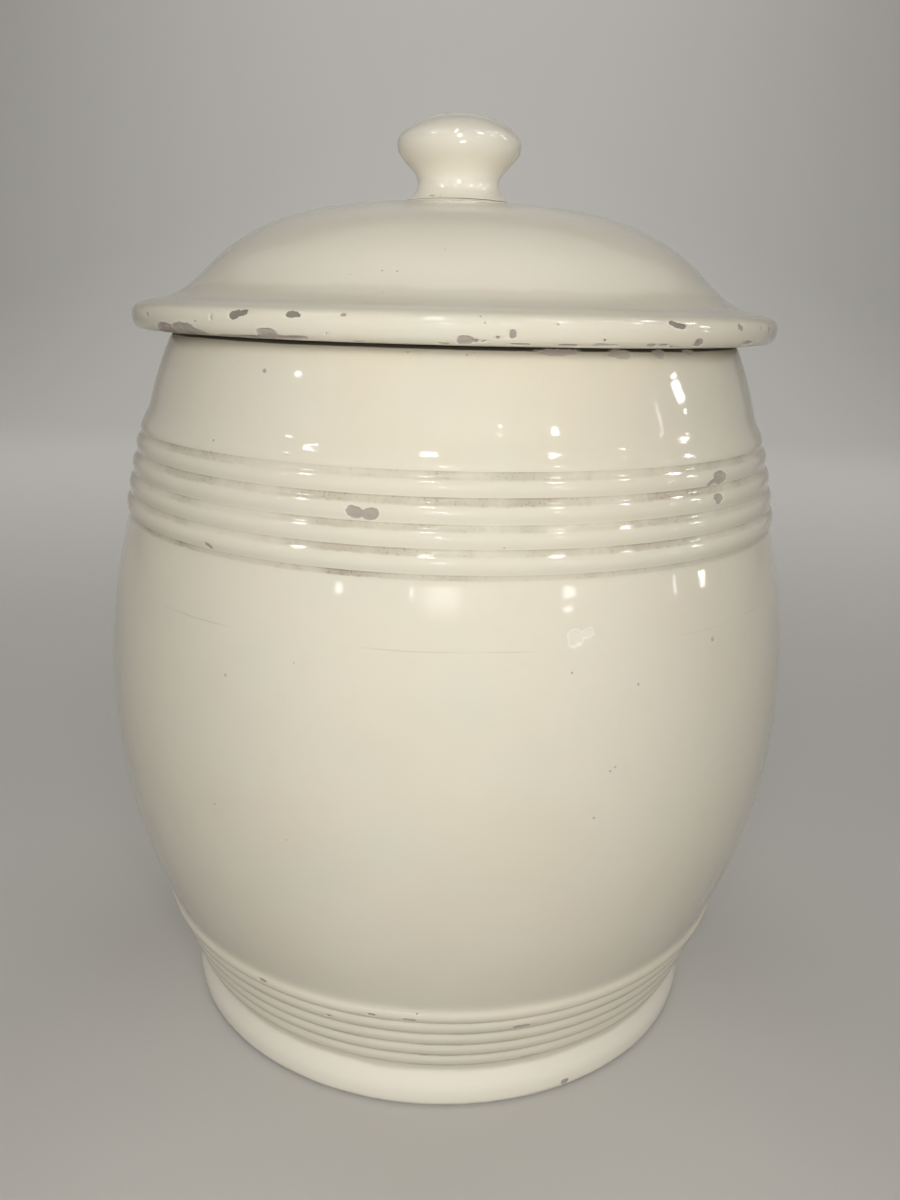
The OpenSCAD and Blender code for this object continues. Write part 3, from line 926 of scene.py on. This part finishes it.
LID_SPECKS = (
    (-13.4, 290.7, 0.4), (-10.6, 290.6, 0.35), (-12.0, 284.4, 0.35), (-19.2, 289.4, 0.3), (-2.3, 297.4, 0.3),
    (3.4, 278.5, 0.4), (4.0, 276.8, 0.35), (13.9, 276.8, 0.45),
)
KNOB_SPECKS = ((-31.0, 319.2, 0.6), (-28.0, 319.1, 0.55), (-19.0, 318.7, 0.3), (30.0, 318.8, 0.25))
GROOVE_DIRT_AND_SHADE = (
    # groove, how far its dirt and painted shade reach above it and below it, strength, how much stronger it
    # is at the front
    (234.0, 1.1, 1.8, 0.60, 1.0),
    (226.7, 1.0, 1.8, 0.70, 1.2),
    (219.4, 0.6, 1.9, 0.60, 1.1),
    (212.1, 0.9, 1.6, 0.65, 1.2),
    (204.8, 0.8, 1.3, 0.95, 0.6),
    (43.5, 0.5, 0.6, 0.70, 0.6),
    (37.1, 0.4, 0.6, 0.75, 0.6),
    (30.7, 0.4, 0.6, 0.75, 0.6),
    (24.3, 0.4, 0.6, 0.75, 0.6),
    (17.9, 0.5, 0.8, 0.65, 0.6),
)

KNOB_GLINTS = (
    # lamps that glint in the knob alone: azimuth, elevation, how far away, width, height, brightness
    (-54, 47, 1.6, 0.17, 0.40, 8),
    (-9, 56, 1.6, 0.17, 0.40, 8),
    (0.6, 24.6, 1.6, 0.20, 0.95, 10),
    (47, 48, 1.6, 0.19, 0.45, 9),
    (69, 33, 1.6, 0.16, 0.36, 6),
    (95, 22.6, 1.6, 0.20, 0.30, 6),
    (7, -10, 0.5, 0.08, 0.16, 14),
)

GLINTS = (
    # small lamps that glint in the glaze: azimuth, elevation, width, height, brightness
    (-8.2, 46.6, 0.12, 0.018, 22),
    (-9, 50.6, 0.12, 0.10, 22),
    (-10, 66, 0.12, 0.10, 22),
    (-4, 22.8, 0.05, 0.045, 30),
    (-2, 19.6, 0.07, 0.084, 20),
    (16.5, 24.4, 0.03, 0.03, 14),
    (-11, 13.5, 0.04, 0.015, 10),
    (-34, 12.4, 0.07, 0.02, 10),
    (-62, 31.7, 0.06, 0.05, 16),
    (-56.2, 39.2, 0.12, 0.018, 22),
    (-60, 44.2, 0.12, 0.10, 22),
    (-62, 59, 0.12, 0.10, 22),
    (41, 43, 0.12, 0.018, 22),
    (43, 47.6, 0.12, 0.10, 22),
    (46, 62, 0.12, 0.10, 22),
    (35.2, 22, 0.06, 0.05, 30),
    (37.8, 12.4, 0.115, 0.022, 9),
    (37, 9.9, 0.08, 0.028, 9),
    (42.6, 11.7, 0.03, 0.05, 2.5),
    (67.6, 34.8, 0.04, 0.03, 16),
    (72, 42, 0.09, 0.10, 22),
    (75, 56, 0.09, 0.10, 22),
    (91, 21.7, 0.12, 0.12, 12),
    (91, 16.8, 0.05, 0.03, 12),
    (92, 25, 0.08, 0.02, 22),
    (97, 38, 0.12, 0.10, 22),
    (99, 52, 0.12, 0.10, 22),
    (88.3, 4.5, 0.075, 0.04, 10),
    (78.5, 18, 0.03, 0.24, 5),
    (76.2, 6.7, 0.03, 0.075, 8),
)


# ---------------------------------------------------------------- operators

SIDES, KNOB_SIDES = 240, 160  # faces round a piece
CHIP_CUTS = 3  # cuts in each face round a piece where chips lie
MIDDLE = Vector((0, 0, 0.18))  # what the lights face
LAMP_AWAY = 1.6  # how far the small lamps are from there


class JAR_OT_barrel(bpy.types.Operator):
    """Turn the jar, knock its chips and glaze it"""

    bl_idname = "jar.barrel"
    bl_label = "Jar"

    def execute(self, context):
        kit = context.scene.storage_jar
        outline, outer = jar_outline(kit.barrel, kit.band, kit.foot)
        obj = turn_piece("turned_jar", outline, SIDES)
        outside = outline[:outer]
        refine_round_chips(obj, outside, JAR_CHIPS + JAR_FLAKES, CHIP_CUTS)
        wander(obj, kit.look.waviness, 0.05)
        knock_chips(obj, outside, JAR_CHIPS, "chip", kit.look.chip_depth)
        knock_chips(obj, outside, JAR_FLAKES, "flake", 0.35 * kit.look.chip_depth)
        specks = [(place_on(outside, a, z), r) for a, z, r in JAR_SPECKS]
        dull = [(place_on(outside, -0.8, 198.5), 7.0)]
        tints = (
            # Painted light: the foot's lip and cove lightened where light falls on them.
            (2, 14.6, kit.look.painted_light_glaze, 0.95, 3.0),
            # Painted shade: a darker band under the lowest fine bead of the foot.
            (15.4, 17.4, (0.60, 0.50, 0.41), 0.3, 2.0),
            # Painted shadow: a dark ring on the jar's rim just under the lid's lip.
            (268.7, 270.2, (0.085, 0.075, 0.05), 0.9, 0.7),
        )
        glaze = glaze_finish(
            "ivory_glaze_on_jar", kit.look, specks, GROOVE_DIRT_AND_SHADE,
            tints=tints, hairline=(183.5, 0.22), dull=dull, flaked=True,
        )
        inside = glaze_finish("ivory_glaze_inside_jar", kit.look, chipped=False)
        bare = biscuit_finish("bare_standing_ring", kit.look)
        inner_r = kit.barrel.mouth_d / 2

        def which(face):
            """0 for the glaze outside, 1 for the glaze inside and 2 for the bare ring."""
            c, n = face.center, face.normal
            if c.z < 1.2 * MM and n.z < -0.7:
                return 2
            recess = kit.foot.recess_h
            deep = c.z > recess + 0.5 * kit.barrel.floor_t and c.xy.length < inner_r + 0.5 * MM
            inwards = c.x * n.x + c.y * n.y < 0 and c.z > recess + 1 * MM and n.z > -0.99
            return 1 if deep or inwards else 0

        finish_faces(obj, (glaze, inside, bare), which)
        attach(obj, "vessel")
        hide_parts("jar")
        return {"FINISHED"}


class JAR_OT_lid(bpy.types.Operator):
    """Turn the domed lid, knock its chips and glaze it"""

    bl_idname = "jar.lid"
    bl_label = "Lid"

    def execute(self, context):
        kit = context.scene.storage_jar
        outline, outer = lid_outline(kit.lid, kit.barrel.mouth_h)
        obj = turn_piece("domed_lid", outline, SIDES)
        outside = outline[:outer]
        refine_round_chips(obj, outside, LID_CHIPS, CHIP_CUTS)
        wander(obj, kit.look.waviness, 0.045)
        knock_chips(obj, outside, LID_CHIPS, "chip", kit.look.chip_depth)
        specks = [(place_on(outside, a, z), r) for a, z, r in LID_SPECKS]
        glaze = glaze_finish(
            "ivory_glaze_on_lid", kit.look, specks,
            # Painted light: the upper dome lightened where light from above falls on it.
            worn=((270.2, 271.2, 0.34),), tints=((286, 400, kit.look.painted_light_glaze, 0.5, 4.0),),
        )
        bare = biscuit_finish("bare_seat_ring", kit.look)
        seat = kit.barrel.mouth_h

        def which(face):
            """1 for the bare seat and 0 for the glaze."""
            return 1 if face.normal.z < -0.9 and abs(face.center.z - seat) < 0.3 * MM else 0

        finish_faces(obj, (glaze, bare), which)
        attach(obj, "cover")
        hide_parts("lid")
        return {"FINISHED"}


class JAR_OT_knob(bpy.types.Operator):
    """Turn the mushroom knob and glaze it"""

    bl_idname = "jar.knob"
    bl_label = "Knob"

    def execute(self, context):
        kit = context.scene.storage_jar
        outline = knob_outline(kit.knob)
        obj = turn_piece("mushroom_knob", outline, KNOB_SIDES)
        wander(obj, 0.8 * kit.look.waviness, 0.02)
        specks = [(place_on(outline, a, z), r) for a, z, r in KNOB_SPECKS]
        glaze = glaze_finish(
            "ivory_glaze_on_knob", kit.look, specks,
            # Painted light: the whole knob lightened.
            tints=((0, 400, kit.look.painted_light_glaze, 0.9, 4.0),), chipped=False,
        )
        finish_faces(obj, (glaze,), lambda face: 0)
        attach(obj, "cover")
        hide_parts("lid_knob")
        return {"FINISHED"}


def round_place(azimuth, elevation, away):
    """Place round the jar's middle: degrees from the front and degrees up, both seen from there."""
    lift = math.radians(elevation)
    return MIDDLE + away * (out_from_front(azimuth) * math.cos(lift) + Vector((0, 0, math.sin(lift))))


def soft_light(name, size, place, aim, power, tint=(1, 1, 1), glint=False):
    """A rectangular light that faces aim. It lights what it reaches, or if glint is set only glints in it."""
    lamp = bpy.data.lights.new(name, "AREA")
    lamp.shape = "RECTANGLE"
    lamp.size, lamp.size_y = size
    lamp.energy = power
    lamp.color = tint
    obj = bpy.data.objects.new(name, lamp)
    bpy.context.scene.collection.objects.link(obj)
    obj.location = place
    obj.rotation_euler = (Vector(aim) - Vector(place)).to_track_quat("-Z", "Y").to_euler()
    obj.visible_glossy, obj.visible_diffuse = glint, not glint
    obj.visible_camera = False
    return obj


def glint_lamp(name, place, aim, width, tall, bright):
    """A small lamp that only glints in the glaze, as bright as it says at any size."""
    return soft_light(name, (width, tall), place, aim, bright * math.pi * width * tall, glint=True)


def lay_paper(studio):
    """The pale floor, swept up into a backdrop."""
    bpy.ops.object.select_all(action="DESELECT")
    bpy.ops.mesh.primitive_plane_add(size=4.8, location=(0, 0.6, 0))
    paper = bpy.context.object
    paper.name = paper.data.name = "studio_paper"
    corners = paper.data.vertices
    for corner in corners:
        corner.select = corner.co.y > 0
    for edge in paper.data.edges:
        edge.select = all(corners[i].select for i in edge.vertices)
    for face in paper.data.polygons:
        face.select = False
    bpy.ops.object.mode_set(mode="EDIT")
    bpy.ops.mesh.select_mode(type="EDGE")
    bpy.ops.mesh.extrude_region_move(TRANSFORM_OT_translate={"value": (0, 0, 4)})
    bpy.ops.mesh.select_all(action="DESELECT")
    bpy.ops.object.mode_set(mode="OBJECT")
    sweep = paper.modifiers.new("sweep", "BEVEL")
    sweep.width, sweep.segments = 1.2, 16
    bpy.ops.object.modifier_apply(modifier=sweep.name)
    bpy.ops.object.shade_smooth()
    f = Finish("pale_paper")
    fleck = f.grain(35, 3)
    colour = f.blend(fleck * 0.08, studio.paper, tuple(c * 0.92 for c in studio.paper))
    colour = f.blend(f.seen(), tuple(c * 0.3 for c in studio.paper), colour)
    paper.data.materials.append(f.close(colour, 0.9))


def set_lights(studio):
    """The soft lights, and the small lamps whose glints the photograph shows in the glaze."""
    soft_light("key_light", (0.22, 0.16), (0.01, -0.53, 0.355), MIDDLE, studio.key, (1, 0.985, 0.95))
    for azimuth, elevation in ((-135, 38), (-45, 13), (45, 13), (135, 38)):
        place = round_place(azimuth, elevation, 2.2)
        soft_light(f"fill_light_{azimuth % 360}", (1.4, 1.4), place, MIDDLE, studio.fill)
    soft_light("backdrop_light", (1.6, 0.3), (0, 1.2, 2.2), (0, 3, 1.0), studio.sweep)
    for number, (azimuth, elevation, *shape) in enumerate(GLINTS, 1):
        glint_lamp(f"lamp_{number}", round_place(azimuth, elevation, LAMP_AWAY), MIDDLE, *shape)
    glint_lamp("camera_lamp", (-0.006, -0.41, 0.272), MIDDLE, 0.05, 0.022, 4)

    jar_only, knob_only = (bpy.data.collections.new(name) for name in ("jar_only", "knob_only"))
    knob_only.objects.link(bpy.data.objects["mushroom_knob"])
    for name in ("turned_jar", "domed_lid", "mushroom_knob"):
        jar_only.objects.link(bpy.data.objects[name])
    back_light = soft_light("back_light", (0.4, 0.3), (0, 0.62, 0.34), MIDDLE, studio.back)
    back_light.light_linking.receiver_collection = jar_only
    on_knob = (0, 0, 0.335)
    for number, (azimuth, elevation, away, *shape) in enumerate(KNOB_GLINTS, 1):
        lamp = glint_lamp(f"knob_lamp_{number}", round_place(azimuth, elevation, away), on_knob, *shape)
        lamp.light_linking.receiver_collection = knob_only
    foot_light = soft_light("foot_light", (0.3, 0.12), (0, -0.62, 0.10), (0, -0.1, -0.03), studio.foot)
    foot_light.data.spread = math.radians(36)


def set_room(scene, studio):
    """Even light, and what the glaze and the camera see past the paper's edge."""
    scene.world = bpy.data.worlds.new("room")
    air = Air(scene.world)
    strength = air.seen() * (studio.backdrop - studio.room) + studio.room
    light = air.add("Background", inputs={"Color": (0.98, 0.97, 0.95, 1), "Strength": strength})
    air.add("OutputWorld", inputs={"Surface": light}, output=None)


def set_camera(scene, studio):
    """The camera, where the photograph was taken from."""
    data = bpy.data.cameras.new("camera")
    data.sensor_width, data.lens = 36, studio.focal
    data.clip_start, data.clip_end = 0.01, 20
    camera = bpy.data.objects.new("camera", data)
    scene.collection.objects.link(camera)
    yaw, pitch, roll = 0.00221, 0.28174, -0.02605
    camera.matrix_world = (
        Matrix.Translation((0, -0.414, 0.2816))
        @ Matrix.Rotation(-yaw, 4, "Z")
        @ Matrix.Rotation(math.pi / 2 - pitch, 4, "X")
        @ Matrix.Rotation(-roll, 4, "Z")
    )
    scene.camera = camera


class JAR_OT_studio(bpy.types.Operator):
    """Lay the pale paper, and set the lights and the camera"""

    bl_idname = "jar.studio"
    bl_label = "Studio"

    def execute(self, context):
        scene = context.scene
        studio = scene.storage_jar.studio
        scene.view_settings.view_transform = "Standard"
        lay_paper(studio)
        set_lights(studio)
        set_room(scene, studio)
        set_camera(scene, studio)
        return {"FINISHED"}


class StorageJar(bpy.types.PropertyGroup):
    """All sizes and colours of the jar."""

    barrel: PointerProperty(type=BarrelSizes, name="Barrel", description="Sizes of the barrel")
    band: PointerProperty(type=BandSizes, name="Band", description="Sizes of the beaded band")
    foot: PointerProperty(type=FootSizes, name="Foot", description="Sizes of the beaded foot")
    lid: PointerProperty(type=LidSizes, name="Lid", description="Sizes of the lid")
    knob: PointerProperty(type=KnobSizes, name="Knob", description="Sizes of the knob")
    look: PointerProperty(type=GlazeLook, name="Glaze", description="Colours and wear")
    studio: PointerProperty(type=StudioLook, name="Studio", description="Paper, lights and camera")


class JAR_PT_panel(bpy.types.Panel):
    """Sizes, colours and pieces of the jar"""

    bl_idname = "JAR_PT_panel"
    bl_label = "Storage Jar"
    bl_space_type = "VIEW_3D"
    bl_region_type = "UI"
    bl_category = "Jar"

    def draw(self, context):
        kit = context.scene.storage_jar
        for part in ("barrel", "band", "foot", "lid", "knob", "look", "studio"):
            box = self.layout.box()
            box.label(text=part.capitalize())
            group = getattr(kit, part)
            for key in group.bl_rna.properties.keys():
                if key not in ("rna_type", "name"):
                    box.prop(group, key)
        for operator in OPERATORS:
            self.layout.operator(operator.bl_idname)


OPERATORS = (JAR_OT_barrel, JAR_OT_lid, JAR_OT_knob, JAR_OT_studio)
CLASSES = (
    BarrelSizes, BandSizes, FootSizes, LidSizes, KnobSizes, GlazeLook, StudioLook, StorageJar,
    *OPERATORS, JAR_PT_panel,
)


def register():
    for cls in CLASSES:
        bpy.utils.register_class(cls)
    bpy.types.Scene.storage_jar = PointerProperty(type=StorageJar)


def unregister():
    del bpy.types.Scene.storage_jar
    for cls in reversed(CLASSES):
        bpy.utils.unregister_class(cls)


def main():
    register()
    bpy.ops.jar.barrel()
    bpy.ops.jar.lid()
    bpy.ops.jar.knob()
    bpy.ops.jar.studio()


if __name__ == "__main__":
    main()
